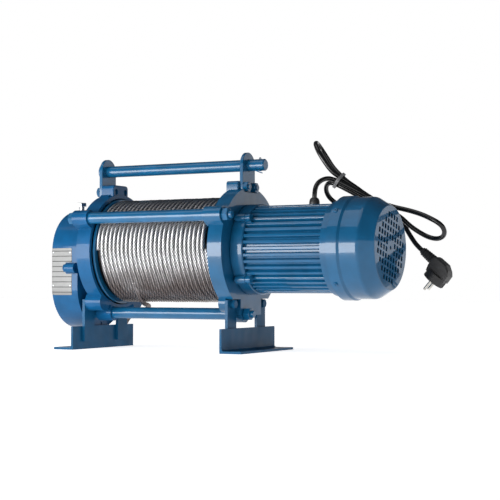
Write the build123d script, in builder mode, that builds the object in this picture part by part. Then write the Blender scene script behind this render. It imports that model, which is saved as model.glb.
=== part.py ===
from build123d import *
import os
from math import acos, atan2, cos, degrees, pi, radians, sin, sqrt, tan

# An electric wire rope puller: a rope drum between two castings, a geared end on the left and a
# finned motor on the right. Millimetres, +Z up, +X along the drum from the gears to the motor.
# The origin lies on the floor, under the middle of the body's bounding box.

# ---- driving dimensions ----
# Heights named UP or DROP, and pairs of (across, above), are measured from the drum axis.
UP = 171                     # height of the drum axis above the floor
GEAR_DROP = 63               # the countershaft lies this far below the drum axis
LEFT_END = -306              # outer face of the gear cover
RIGHT_END = 306              # outer face of the fan cover
SEAM_X = -260                # joint between gear cover and gearbox housing
WALL_LEFT = -239             # gearbox wall, left face
WALL_RIGHT = -227            # gearbox wall, right face
GAP_X = -206                 # right face of the left ring
WINDING = (-201, 22)         # rope space between the drum flanges
BRACKET = (28, 54)           # right ring, left and right face
SHIELD_END = 77              # motor front shield, right face
HOUSING_END = 217            # finned motor housing, right face
REAR_END = 230               # motor rear shield, right face

# castings at the two ends of the drum
COVER_R = 72.5               # rounded ends of the gear cover
COVER_WALL = 6
EARS = [(-58.7, 58.7), (58.7, 58.7), (-80, -30), (80, -30)]      # bolt ears round the seam
EAR_R = 9
EAR_LEFT = -267              # left face of the cover's ears
BOTTOM_BOLT = (0, -GEAR_DROP - 64.5)
SEAT_BOSS_R = 36             # boss round the countershaft bearing
PLUG_X = -292                # oil filler plug
PLATE_X = (-304, -262)       # rating plate, along the cover
PLATE_UP = (-77, 5)          # and up
LEFT_RING = (94, 100)        # cavity and outside radius
RIGHT_RING = (94, 104)
SPIGOT_R = 15                # hollow stubs that carry the drum's bearings

# drum and rope
DRUM_TUBE = (53, 61)
FLANGE_R = 92
ROPE_D = 8.0
ROPE_TURNS = 27
ROPE_LAYERS = 4
ROPE_LAYER_STEP = 6.87       # each layer lies in the valleys of the one below
ANCHOR_UP = 76               # rope clamp on the right flange

# tie rods, feet and hanger
TIE_SPOTS = ((-95.3, 55), (-20, -108), (95.3, 55))     # across and above the drum axis
TIE_ROD_R = 10
STUD_R = 6
STUD_HOLE_R = 6.2
BOSS_R = 14
BAR_Y = 52                   # foot bars, each side of the middle
BAR_BOLT_DROP = 91           # their bolts below the drum axis
BAR_BOLT_R = 4
BAR = (30, 5)                # width and thickness
BAR_SPAN = (-158, -84)
ANGLE = (40, 4)              # equal angle iron, leg and thickness
LEFT_LEG_X = -243            # upright legs of the two angles
RIGHT_LEG_X = 46
FOOT_HALF = 95
FOOT_HOLE_Y = 75
FOOT_HOLE_IN = 22            # from the upright leg's outer face
FOOT_HOLE_R = 5.5
HANGER_H = 142               # hanger rod above the drum axis
HANGER_R = 10
LUG = (44, 6)                # flat bar, width and thickness
LUG_TOP = 164
LUG_FOOT = 97
LUG_BOLT_H = 105
LUG_BOLT_Y = 14
LUG_HOLE_R = 5.2
PIN_X = 67                   # split pin through the hanger rod
PIN_TILT = 40                # it leans this far from upright, its eye towards the back

# motor
SHIELD_R = 76
SHIELD_EARS = [(side_y * 60.5, side_up * 50.8) for side_y in (-1, 1) for side_up in (-1, 1)]
FIN_TIP_R = 73.2
FIN_ROOT_R = 66.5
FINS = 42
GLAND_X = 172
STATOR_R = 58
ROTOR_R = 37
FAN_COVER_R = 84.8
SHEET = 1.6
COVER_STEP = (248, 252)      # where the fan cover's rim steps down
COVER_BEND_X = 279           # where its side starts to bend into the cone
COVER_BEND_R = 12
COVER_CONE = radians(31.3)
COVER_FACE_R = 68
SCREW_X = 238
SCREW_ANGLES = (43, 137, 223, 317)
SLOT_TURN = -13              # the rows of slots are turned this far from level
SLOT_ROWS = (4, 6, 8, 10, 10, 10, 10, 8, 6, 4)
SLOT_PITCH = (11.1, 11.4)
SLOT = (6.8, 8.2)
GUIDE_R = 40                 # circle of the brake armature's guide pins

# gears: two steps, 12:72 and 12:75, all on one line below the drum axis
PRESSURE = radians(25)
PINION_TEETH = 12
BIG_TEETH = 72
RING_TEETH = 75
FAST_MODULE = 1.5
SLOW_MODULE = 2.0
TOOTH_GAP = 0.30             # taken off the thickness of each tooth
FAST_PINION_R = FAST_MODULE * PINION_TEETH / 2
BIG_R = FAST_MODULE * BIG_TEETH / 2
SLOW_PINION_R = SLOW_MODULE * PINION_TEETH / 2
RING_R = SLOW_MODULE * RING_TEETH / 2
FAST_PINION = (-273, -255)
BIG_WHEEL = (-271, -257)
SLOW_PINION = (-222, -209)
RING_GEAR = (-222.5, -205)
RING_GEAR_R = 84
GEAR_BOLT_R = 40
FIRST_TOOTH = -pi / 2        # each wheel's first tooth points straight down

# cord, plug, rope end and hook
CORD_D = 8.0
CORD_HOLE_R = 6.5

TIE_AT = (193, 50, 286)      # middle of the cord tie and the way the strands run there
TIE_ALONG = (0.745, 0.298, -0.596)
TIE_STRANDS = ((9.5, 2.3), (-2.6, 7.6), (-16, -9), (-0.6, -5.9))
PLUG_PIN_Y = 9.5
PLUG_PIN_R = 2.4
EYE_X = 48                   # middle of the rope's eye from the ferrule's start
EYE_R = 13.5
EYE_LEG = 4.1
HOOK_EYE_R = 11.4
HOOK_EYE_BAR = 4.2
HOOK_BAR = 5.2
BOWL_X = 45.75               # middle of the hook's bowl in the hook's frame
BOWL_R = 18
HOOK_TIP = (BOWL_X + BOWL_R * cos(radians(245)), BOWL_R * sin(radians(245)))
LATCH_AT = (19.75, -8)       # latch pin in the hook's frame
LATCH_PIN_R = 1.5
LATCH_TILT = radians(-7)
LATCH_REACH = 20.5

# ---- placing and shaping helpers ----
def facing(x, y=0.0, up=0.0):
    """A sketch plane that faces +X, with local x along +Y and local y along +Z, from the drum axis."""
    return Plane(origin=(x, y, UP + up), x_dir=(0, 1, 0), z_dir=(1, 0, 0))


def turned(section, y=0.0, up=0.0):
    """A body turned about an axis along X, from its half section in (x, radius) points."""
    with BuildPart() as body:
        with BuildSketch(Plane(origin=(0, y, UP + up), x_dir=(1, 0, 0), z_dir=(0, -1, 0))):
            with BuildLine():
                Polyline(*section, close=True)
            make_face()
        revolve(axis=Axis((0, y, UP + up), (1, 0, 0)))
    return body.part


def ring(x0, x1, inner, outer, y=0.0, up=0.0):
    """A plain annulus or, with no inner radius, a disc from x0 to x1."""
    return turned([(x0, inner), (x1, inner), (x1, outer), (x0, outer)], y, up)


def round_spots(radius, angles):
    """Points on a circle about the drum axis, as (across, above)."""
    return [(radius * cos(radians(a)), radius * sin(radians(a))) for a in angles]


def hexagon(x0, x1, flats, y, up, crown=0.12):
    """A hexagon nut or head along X, with both or one of its faces crowned by a cone."""
    corner = flats / sqrt(3)
    cut = crown * flats
    with BuildPart() as nut:
        with BuildSketch(facing(x0, y, up)):
            RegularPolygon(corner, 6)
        extrude(amount=x1 - x0)
        with BuildSketch(Plane(origin=(x0, y, UP + up), x_dir=(1, 0, 0), z_dir=(0, -1, 0))):
            with BuildLine():
                Polyline((0, 0), (0, corner - cut), (cut * 0.55, corner), (x1 - x0 - cut * 0.55, corner),
                         (x1 - x0, corner - cut), (x1 - x0, 0), close=True)
            make_face()
        revolve(axis=Axis((0, y, UP + up), (1, 0, 0)), mode=Mode.INTERSECT)
    return nut.part


def together(*parts):
    """One node from several solids that don't touch, or one solid from several that do."""
    with BuildPart() as group:
        for part in parts:
            add(part)
    return group.part


def save(part, name):
    part.label = name
    export_step(part, f"parts/{name}.step")


# ---- gear teeth ----
def tooth_half_angle(radius, teeth, module, widen):
    """Half the angle that a tooth takes up at a radius, by the involute of its base circle."""
    pitch_r = teeth * module / 2
    base_r = pitch_r * cos(PRESSURE)
    spread = acos(min(1.0, base_r / max(radius, base_r)))
    involute = (tan(PRESSURE) - PRESSURE) - (tan(spread) - spread)
    return pi / (2 * teeth) + widen / (2 * pitch_r) + involute


def gear_outline(teeth, module, root_r, tip_r, first, widen):
    """The closed outline of a toothed wheel as points, with its first tooth at the angle first."""
    flank = [root_r + (tip_r - root_r) * k / 3 for k in range(4)]
    half = [tooth_half_angle(r, teeth, module, widen) for r in flank]
    points = []
    for tooth in range(teeth):
        middle = first + 2 * pi * tooth / teeth
        points += [(r * cos(middle - h), r * sin(middle - h)) for r, h in zip(flank, half)]
        points += [(r * cos(middle + h), r * sin(middle + h)) for r, h in zip(flank[::-1], half[::-1])]
    return points


def wheel(x0, x1, outline, y, up, bore_r=None):
    """A toothed wheel along X."""
    with BuildPart() as gear:
        with BuildSketch(facing(x0, y, up)):
            with BuildLine():
                Polyline(*outline, close=True)
            make_face()
            if bore_r:
                Circle(bore_r, mode=Mode.SUBTRACT)
        extrude(amount=x1 - x0)
    return gear.part


# ---- left casting: gear cover and gearbox housing ----
def stadium(radius, drop=GEAR_DROP):
    """The two-circle outline that holds both shafts, in the current sketch."""
    SlotCenterToCenter(drop, 2 * radius, rotation=90)


def rounded_case(x0, x1, radius):
    with BuildPart() as case:
        with BuildSketch(facing(x0, 0, -GEAR_DROP / 2)):
            stadium(radius)
        extrude(amount=x1 - x0)
    return case.part


def ears(x0, x1):
    """Bolt ears around the seam, each with a neck that runs into the wall."""
    with BuildPart() as body:
        for y, up in EARS:
            turn = atan2(up + 30 if up < 0 else up, y)
            with BuildSketch(facing(x0, y, up)):
                Circle(EAR_R)
                with Locations((-8 * cos(turn), -8 * sin(turn))):
                    Rectangle(16, 2 * EAR_R, rotation=degrees(turn))
            extrude(amount=x1 - x0)
    return body.part


def make_gear_cover():
    outside = rounded_case(LEFT_END, SEAM_X, COVER_R)
    inside = rounded_case(LEFT_END + COVER_WALL, SEAM_X, COVER_R - COVER_WALL)
    lugs = ears(EAR_LEFT, SEAM_X)
    seats = [ring(-300, -289, 17.5, 23, 0, up) for up in (0, -GEAR_DROP)]
    with BuildPart() as cover:
        add(outside)
        fillet(cover.faces().sort_by(Axis.X)[0].edges(), radius=4)
        add(lugs)
        add(inside, mode=Mode.SUBTRACT)
        for seat in seats:
            add(seat)
        with BuildSketch(facing(-300, *BOTTOM_BOLT)):
            Circle(7.9)
        extrude(amount=8)
        with BuildSketch(facing(-292, *BOTTOM_BOLT)):
            Circle(6.5)
        extrude(amount=32)
        with BuildSketch(facing(-290)):
            with Locations(*EARS):
                Circle(4.3)
        extrude(amount=30, mode=Mode.SUBTRACT)
        with BuildSketch(facing(-295, *BOTTOM_BOLT)):
            Circle(3.2)
        extrude(amount=36, mode=Mode.SUBTRACT)
        # filler hole on top, and a flat around it
        with BuildSketch(Plane(origin=(PLUG_X, 0, UP + COVER_R - 8), z_dir=(0, 0, 1))):
            Circle(10)
        extrude(amount=9)
        with BuildSketch(Plane(origin=(PLUG_X, 0, UP + COVER_R - 9), z_dir=(0, 0, 1))):
            Circle(5.1)
        extrude(amount=12, mode=Mode.SUBTRACT)
        # drilled pocket for the bottom bolt's head
        with BuildSketch(facing(LEFT_END - 1, *BOTTOM_BOLT)):
            Circle(6.2)
        extrude(amount=15, mode=Mode.SUBTRACT)
    return cover.part


def boss_neck(x0, x1, y, up, radius, inner_r):
    """A round boss beside a ring, with a straight-sided neck that reaches in to inner_r."""
    reach = sqrt(y * y + up * up) - inner_r
    turn = atan2(up, y)
    with BuildPart() as boss:
        with BuildSketch(facing(x0, y, up)):
            Circle(radius)
            with Locations((-reach / 2 * cos(turn), -reach / 2 * sin(turn))):
                Rectangle(reach, 2 * radius, rotation=degrees(turn))
        extrude(amount=x1 - x0)
    return boss.part


def top_boss(x0, x1, width, top):
    """The block on a ring that carries a hanger lug."""
    with BuildPart() as boss:
        with BuildSketch(facing(x0)):
            with Locations((0, (top + 80) / 2)):
                Rectangle(width, top - 80)
        extrude(amount=x1 - x0)
        fillet(boss.edges().filter_by(Axis.X).group_by(Axis.Z)[-1], radius=6)
        fillet(boss.faces().sort_by(Axis.X)[-1].edges().filter_by(Axis.Y).sort_by(Axis.Z)[-1:], radius=2)
    return boss.part


def gusset(x0, x1, half_top, half_foot, top, foot):
    """The web that spreads from the top boss down to the ring."""
    with BuildPart() as web:
        with BuildSketch(facing(x0)):
            Polygon((-half_top, top), (half_top, top), (half_foot, foot), (-half_foot, foot), align=None)
        extrude(amount=x1 - x0)
    return web.part


def make_gearbox_housing():
    flange = rounded_case(SEAM_X, -250, COVER_R)
    inside = rounded_case(SEAM_X, -254.5, COVER_R - COVER_WALL)
    lugs = ears(SEAM_X, -248)
    neck = turned([(-250, 0), (-250, 74), (-238, 84), (-233, 96), (-233, 0)])
    neck_in = ring(-254.5, WALL_LEFT, 0, 66)
    seat = ring(-250, -230, 0, SEAT_BOSS_R, 0, -GEAR_DROP)
    band = ring(-233, GAP_X, 0, LEFT_RING[1])
    cavity = ring(WALL_RIGHT, GAP_X, 0, LEFT_RING[0])
    bosses = [boss_neck(-237, -207, y, up, BOSS_R, 96) for y, up in TIE_SPOTS]
    bosses += [boss_neck(-238, GAP_X, y, -89, 15, 96) for y in (-BAR_Y, BAR_Y)]
    head = top_boss(-233, -208, 47, 117)
    web = gusset(-233, -214, 23, 44, 100, 88)
    spigot = ring(WALL_RIGHT, -188, 0, SPIGOT_R)
    root = ring(WALL_RIGHT, -206, 0, 20)
    with BuildPart() as housing:
        for part in [flange, lugs, neck, band, head, web] + bosses:
            add(part)
        for part in (inside, neck_in, cavity):
            add(part, mode=Mode.SUBTRACT)
        for part in (spigot, root, seat):
            add(part)
        with BuildSketch(facing(SEAM_X, *BOTTOM_BOLT)):
            Circle(6.5)
        extrude(amount=10)
        # shaft bore, countershaft bearing seat, bolt and tie rod holes
        with BuildSketch(facing(-256)):
            Circle(10.5)
        extrude(amount=71, mode=Mode.SUBTRACT)
        with BuildSketch(facing(-256, 0, -GEAR_DROP)):
            Circle(11)
        extrude(amount=20, mode=Mode.SUBTRACT)
        with BuildSketch(facing(-245, 0, -GEAR_DROP)):
            Circle(20)
        extrude(amount=20, mode=Mode.SUBTRACT)
        with BuildSketch(facing(-265)):
            with Locations(*EARS):
                Circle(4.3)
        extrude(amount=20, mode=Mode.SUBTRACT)
        with BuildSketch(facing(-265, *BOTTOM_BOLT)):
            Circle(3.2)
        extrude(amount=20, mode=Mode.SUBTRACT)
        with BuildSketch(facing(-240)):
            with Locations(*TIE_SPOTS):
                Circle(STUD_HOLE_R)
        extrude(amount=40, mode=Mode.SUBTRACT)
        with BuildSketch(facing(-240)):
            with Locations((-LUG_BOLT_Y, LUG_BOLT_H), (LUG_BOLT_Y, LUG_BOLT_H)):
                Circle(LUG_HOLE_R)
        extrude(amount=40, mode=Mode.SUBTRACT)
        with BuildSketch(facing(-240)):
            with Locations((-BAR_Y, -BAR_BOLT_DROP), (BAR_Y, -BAR_BOLT_DROP)):
                Circle(BAR_BOLT_R)
        extrude(amount=22, mode=Mode.SUBTRACT)
    return housing.part


# ---- right casting ----
def make_motor_bracket():
    band = ring(BRACKET[0], BRACKET[1], 0, RIGHT_RING[1])
    cavity = ring(21, 46, 0, RIGHT_RING[0])
    bosses = [boss_neck(22, BRACKET[1], y, up, BOSS_R, 97) for y, up in TIE_SPOTS]
    bosses += [boss_neck(BRACKET[0], 41, y, -89, 15, 97) for y in (-BAR_Y, BAR_Y)]
    head = top_boss(22, 44, 56, 115)
    web = gusset(28, 44, 27, 52, 98, 86)
    spigot = turned([(14, 0), (46, 0), (46, 22), (40, 20), (31, 20), (31, SPIGOT_R), (14, SPIGOT_R)])
    with BuildPart() as bracket:
        for part in [band, head, web] + bosses:
            add(part)
        with BuildSketch(facing(BRACKET[0], 0, -92)):
            Polygon((-56, 20), (56, 20), (40, -18), (-40, -18), align=None)
        extrude(amount=BRACKET[1] - BRACKET[0])
        add(cavity, mode=Mode.SUBTRACT)
        add(spigot)
        with BuildSketch(facing(0)):
            Circle(10.5)
        extrude(amount=70, mode=Mode.SUBTRACT)
        # seat for the front shield's rim
        with BuildSketch(facing(50)):
            Circle(72)
        extrude(amount=5, mode=Mode.SUBTRACT)
        # flat notch for the right lug
        with BuildSketch(facing(44)):
            with Locations((0, 108)):
                Rectangle(46, 24)
        extrude(amount=12, mode=Mode.SUBTRACT)
        # notches that let the foot bars lie flat
        with BuildSketch(facing(41)):
            with Locations((-BAR_Y, -103), (BAR_Y, -103)):
                Rectangle(BAR[0] + 1, 40)
        extrude(amount=20, mode=Mode.SUBTRACT)
        with BuildSketch(facing(15)):
            with Locations(*TIE_SPOTS):
                Circle(STUD_HOLE_R)
        extrude(amount=45, mode=Mode.SUBTRACT)
        with BuildSketch(facing(15)):
            with Locations((-LUG_BOLT_Y, LUG_BOLT_H), (LUG_BOLT_Y, LUG_BOLT_H)):
                Circle(LUG_HOLE_R)
        extrude(amount=45, mode=Mode.SUBTRACT)
        with BuildSketch(facing(27)):
            with Locations((-BAR_Y, -BAR_BOLT_DROP), (BAR_Y, -BAR_BOLT_DROP)):
                Circle(BAR_BOLT_R)
        extrude(amount=20, mode=Mode.SUBTRACT)
    return bracket.part


# ---- tie rods, nuts, hanger ----
def make_tie_rod(y, up):
    return turned([(-249.5, 0), (-249.5, STUD_R - 1), (-248.5, STUD_R), (-207, STUD_R), (-207, TIE_ROD_R),
                   (22, TIE_ROD_R), (22, STUD_R), (70, STUD_R), (71, STUD_R - 1), (71, 0)], y, up)


def make_tie_rod_nuts():
    nuts = []
    for y, up in TIE_SPOTS:
        for x0, x1 in ((-248, -237), (54, 65)):
            nut = hexagon(x0, x1, 19, y, up)
            hole = ring(x0 - 1, x1 + 1, 0, STUD_R, y, up)
            nuts.append(nut - hole)
    return together(*nuts)


def make_lug(x0):
    with BuildPart() as lug:
        with BuildSketch(facing(x0)):
            with Locations((0, (LUG_FOOT + LUG_TOP - LUG[0] / 2) / 2)):
                Rectangle(LUG[0], LUG_TOP - LUG[0] / 2 - LUG_FOOT)
            with Locations((0, LUG_TOP - LUG[0] / 2)):
                Circle(LUG[0] / 2)
            with Locations((0, HANGER_H)):
                Circle(HANGER_R + 0.3, mode=Mode.SUBTRACT)
            with Locations((-LUG_BOLT_Y, LUG_BOLT_H), (LUG_BOLT_Y, LUG_BOLT_H)):
                Circle(LUG_HOLE_R, mode=Mode.SUBTRACT)
        extrude(amount=LUG[1])
        outer = lug.faces().filter_by(Axis.X).edges()
        chamfer(outer.filter_by(GeomType.LINE).filter_by(Axis.Z), length=0.6)
    return lug.part


def make_lug_bolts():
    parts = []
    for y in (-LUG_BOLT_Y, LUG_BOLT_Y):
        for head, grip, nut in ((-239, -233, -208), (22, 44, 50)):
            if head < 0:
                parts.append(hexagon(head - 6.4, head, 16, y, LUG_BOLT_H) +
                             ring(head, nut - 3, 0, 5, y, LUG_BOLT_H))
            else:
                parts.append(ring(head + 4, nut, 0, 5, y, LUG_BOLT_H) +
                             hexagon(nut, nut + 8, 16, y, LUG_BOLT_H) +
                             ring(nut + 8, nut + 10, 0, 4.6, y, LUG_BOLT_H))
    return together(*parts)


def make_hanger_rod():
    tilt = radians(PIN_TILT)
    rod = turned([(-247, 0), (-247, 13), (-246, 14), (-240, 14), (-239, 13), (-239, HANGER_R),
                  (80.5, HANGER_R), (82, HANGER_R - 1.5), (82, 0)], 0, HANGER_H)
    with BuildPart() as body:
        add(rod)
        with BuildSketch(Plane(origin=(PIN_X, 0, UP + HANGER_H), z_dir=(0, sin(tilt), cos(tilt)))):
            Circle(2.2)
        extrude(amount=15, both=True, mode=Mode.SUBTRACT)
    return body.part


def make_cotter_pin():
    """A split pin through the hanger rod: one doubled wire, its two legs bent out to the right."""
    top = UP + HANGER_H + 11
    low = UP + HANGER_H - 12.2
    half = [(PIN_X + 13, 2.7, low - 4.4), (PIN_X, 0.95, low), (PIN_X, 0.95, top), (PIN_X, 3.6, top + 2.7)]
    mirrored = [(x, -y, up) for x, y, up in reversed(half)]
    bends = [2.2, 1.2, 1.6, 1.8, 1.6, 1.2, 2.2]
    path = FilletPolyline(*half, (PIN_X, 0, top + 6.4), *mirrored, radius=bends)
    with BuildPart() as pin:
        with BuildLine():
            add(path)
        with BuildSketch(Plane(origin=path @ 0, z_dir=path % 0)):
            Circle(0.85)
        sweep()
    return pin.part.rotate(Axis((PIN_X, 0, UP + HANGER_H), (1, 0, 0)), -PIN_TILT)


# ---- feet ----
def make_foot_angle(x0, outward):
    """An angle iron across the body: x0 is its upright leg's outer root, outward is -1 or 1."""
    leg, thick = ANGLE
    far = x0 + outward * leg
    near = x0
    with BuildPart() as angle:
        with BuildSketch(Plane(origin=(0, -FOOT_HALF, 0), x_dir=(1, 0, 0), z_dir=(0, -1, 0))):
            Polygon((near, 0), (far, 0), (far, thick), (near + outward * thick, thick),
                    (near + outward * thick, leg), (near, leg), align=None)
        extrude(amount=-2 * FOOT_HALF)
        inner = angle.edges().filter_by(Axis.Y).filter_by(
            lambda e: abs(e.center().X - near - outward * thick) < 0.1 and abs(e.center().Z - thick) < 0.1)
        fillet(inner, radius=3.5)
        with BuildSketch(Plane.XY):
            with Locations((near + outward * FOOT_HOLE_IN, -FOOT_HOLE_Y),
                           (near + outward * FOOT_HOLE_IN, FOOT_HOLE_Y)):
                Circle(FOOT_HOLE_R)
        extrude(amount=thick, mode=Mode.SUBTRACT)
    return angle.part


def make_foot_bars(x0):
    middle = (BAR_SPAN[0] + BAR_SPAN[1]) / 2
    with BuildPart() as bars:
        with BuildSketch(facing(x0)):
            with Locations((-BAR_Y, middle), (BAR_Y, middle)):
                RectangleRounded(BAR[0], BAR_SPAN[1] - BAR_SPAN[0], 1.2)
            with Locations((-BAR_Y, -BAR_BOLT_DROP), (BAR_Y, -BAR_BOLT_DROP)):
                Circle(BAR_BOLT_R + 0.2, mode=Mode.SUBTRACT)
        extrude(amount=BAR[1])
    return bars.part


def make_foot_bolts():
    parts = []
    for y in (-BAR_Y, BAR_Y):
        parts.append(hexagon(-248.4, -243, 13, y, -BAR_BOLT_DROP) +
                     ring(-243, -221, 0, BAR_BOLT_R - 0.1, y, -BAR_BOLT_DROP))
        parts.append(ring(46, 47.6, BAR_BOLT_R - 0.1, 8, y, -BAR_BOLT_DROP) +
                     hexagon(47.6, 53.4, 13, y, -BAR_BOLT_DROP) +
                     ring(29, 47.6, 0, BAR_BOLT_R - 0.1, y, -BAR_BOLT_DROP))
    return together(*parts)


def make_cover_bolts():
    parts = [hexagon(EAR_LEFT - 5, EAR_LEFT, 13, y, up) + ring(EAR_LEFT, -249, 0, 4.1, y, up)
             for y, up in EARS]
    parts.append(hexagon(-296.2, -292, 10, *BOTTOM_BOLT) + ring(-292, -251, 0, 3, *BOTTOM_BOLT))
    return together(*parts)


def make_oil_plug():
    """A breather plug: a hexagon head on a short waisted stem, screwed into the cover's top."""
    top = UP + COVER_R
    with BuildPart() as plug:
        with BuildSketch(Plane(origin=(PLUG_X, 0, top - 7), z_dir=(0, 0, 1))):
            Circle(5)
        extrude(amount=8)
        with BuildSketch(Plane(origin=(PLUG_X, 0, top + 1), z_dir=(0, 0, 1))):
            Circle(8)
        extrude(amount=1.6)
        with BuildSketch(Plane(origin=(PLUG_X, 0, top + 2.6), z_dir=(0, 0, 1))):
            Circle(5)
        extrude(amount=7)
        with BuildSketch(Plane(origin=(PLUG_X, 0, top + 9.6), z_dir=(0, 0, 1))):
            RegularPolygon(9.2, 6)
        extrude(amount=6.4)
        chamfer(plug.faces().sort_by(Axis.Z)[-1].edges(), length=0.8)
    return plug.part


def make_rating_plate():
    """A thin plate that follows the front of the cover, cut away around the middle ear."""
    y = -COVER_R - 3
    with BuildPart() as plate:
        add(rounded_case(PLATE_X[0], PLATE_X[1], COVER_R + 0.6))
        add(rounded_case(PLATE_X[0] - 1, PLATE_X[1] + 1, COVER_R), mode=Mode.SUBTRACT)
        with BuildSketch(Plane(origin=(0, y, UP), x_dir=(1, 0, 0), z_dir=(0, -1, 0))):
            with Locations(((PLATE_X[0] + PLATE_X[1]) / 2, (PLATE_UP[0] + PLATE_UP[1]) / 2)):
                RectangleRounded(PLATE_X[1] - PLATE_X[0], PLATE_UP[1] - PLATE_UP[0], 2)
            with Locations((EAR_LEFT + 1, -30)):
                Rectangle(16, 20, mode=Mode.SUBTRACT)
        extrude(amount=-20, mode=Mode.INTERSECT)
    return plate.part


def make_plate_rivets():
    with BuildPart() as rivets:
        with BuildSketch(Plane(origin=(-283, -COVER_R - 0.6, UP - 31.5), x_dir=(1, 0, 0), z_dir=(0, -1, 0))):
            with GridLocations(36, 58, 2, 2):
                Circle(1.3)
        extrude(amount=0.7, taper=25)
    return rivets.part


# ---- motor ----
def make_front_shield():
    body = turned([(50, 24), (50, 71.8), (54, 71.8), (54, SHIELD_R - 1.5), (56, SHIELD_R), (75.5, SHIELD_R),
                   (77, SHIELD_R - 1.5), (77, 60), (66, 60), (66, 34), (72, 30), (72, 12), (56, 12),
                   (56, 24)])
    with BuildPart() as shield:
        add(body)
        with BuildSketch(facing(60)):
            with Locations(*SHIELD_EARS):
                Circle(7)
        extrude(amount=17)
        with BuildSketch(facing(56)):
            Circle(23.5)
        extrude(amount=14, mode=Mode.SUBTRACT)
        with BuildSketch(facing(49)):
            Circle(24)
        extrude(amount=8, mode=Mode.SUBTRACT)
        with BuildSketch(facing(55)):
            with Locations(*SHIELD_EARS):
                Circle(2.7)
        extrude(amount=25, mode=Mode.SUBTRACT)
        # pockets for the screw heads, open towards the bracket
        with BuildSketch(facing(53)):
            with Locations(*SHIELD_EARS):
                Circle(5.6)
        extrude(amount=7, mode=Mode.SUBTRACT)
    return shield.part


def make_motor_housing():
    """The finned motor body, with lugs for the shield screws and a pad for the cord gland."""
    with BuildPart() as housing:
        with BuildSketch(facing(SHIELD_END)):
            Circle(FIN_ROOT_R)
            with PolarLocations(0, FINS):
                Polygon((FIN_ROOT_R - 2, -3.8), (FIN_TIP_R - 0.8, -2.5), (FIN_TIP_R, -1.7),
                        (FIN_TIP_R, 1.7), (FIN_TIP_R - 0.8, 2.5), (FIN_ROOT_R - 2, 3.8), align=None)
        extrude(amount=HOUSING_END - SHIELD_END)
        with BuildSketch(facing(SHIELD_END)):
            for y, up in SHIELD_EARS:
                with Locations((y, up)):
                    Circle(6)
                with Locations((y * 0.9, up * 0.9)):
                    Rectangle(16, 12, rotation=degrees(atan2(up, y)))
        extrude(amount=9)
        with BuildSketch(Plane(origin=(GLAND_X, 0, UP + 58), z_dir=(0, 0, 1))):
            Circle(12)
        extrude(amount=FIN_TIP_R - 58 - 0.4)
        with BuildSketch(Plane(origin=(GLAND_X, 0, UP + FIN_TIP_R - 0.4), z_dir=(0, 0, 1))):
            Circle(12)
        extrude(amount=5, mode=Mode.SUBTRACT)
        with BuildSketch(facing(SHIELD_END - 1)):
            Circle(STATOR_R)
        extrude(amount=HOUSING_END - SHIELD_END + 2, mode=Mode.SUBTRACT)
        with BuildSketch(Plane(origin=(GLAND_X, 0, UP + 50), z_dir=(0, 0, 1))):
            Circle(CORD_HOLE_R)
        extrude(amount=40, mode=Mode.SUBTRACT)
        with BuildSketch(facing(SHIELD_END)):
            with Locations(*SHIELD_EARS):
                Circle(2.4)
        extrude(amount=8, mode=Mode.SUBTRACT)
    return housing.part


def make_rear_shield():
    body = turned([(217, 46), (217, 78), (229, 78), (230, 79), (230, 83.1), (246, 83.1), (246, 79),
                   (233, 79), (226, 70), (226, 30), (231, 24), (231, 12), (217, 12), (217, 30),
                   (222, 34), (222, 46)])
    with BuildPart() as shield:
        add(body)
        with BuildSketch(facing(219)):
            Circle(20)
        extrude(amount=13, mode=Mode.SUBTRACT)
        for angle in SCREW_ANGLES:
            with BuildSketch(radial_plane(SCREW_X, 60, angle)):
                Circle(1.9)
            extrude(amount=30, mode=Mode.SUBTRACT)
    return shield.part


def radial_plane(x, radius, angle):
    """A plane whose normal points away from the drum axis at an angle."""
    y, up = cos(radians(angle)), sin(radians(angle))
    return Plane(origin=(x, radius * y, UP + radius * up), x_dir=(1, 0, 0), z_dir=(0, y, up))


def make_shield_screws():
    parts = []
    for y, up in SHIELD_EARS:
        parts.append(hexagon(56.2, 60, 8, y, up) + ring(60, 84, 0, 2.4, y, up))
    return together(*parts)


def cover_section(inset, mouth):
    """The half section of the fan cover, drawn in by inset from its outer surface."""
    rim_r = FAN_COVER_R - inset
    side_r = rim_r - 2.4
    bend_r = COVER_BEND_R - inset
    bent = (COVER_BEND_X + bend_r * sin(COVER_CONE), side_r - bend_r * (1 - cos(COVER_CONE)))
    end = RIGHT_END - inset
    with BuildSketch(Plane(origin=(0, 0, UP), x_dir=(1, 0, 0), z_dir=(0, -1, 0))) as section:
        with BuildLine():
            Polyline(bent, (end, COVER_FACE_R - 0.5 * inset), (end, 0), (mouth, 0), (mouth, rim_r),
                     (COVER_STEP[0], rim_r), (COVER_STEP[1], side_r), (COVER_BEND_X, side_r))
            TangentArc((COVER_BEND_X, side_r), bent, tangent=(1, 0))
        make_face()
    return section.sketch


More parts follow.
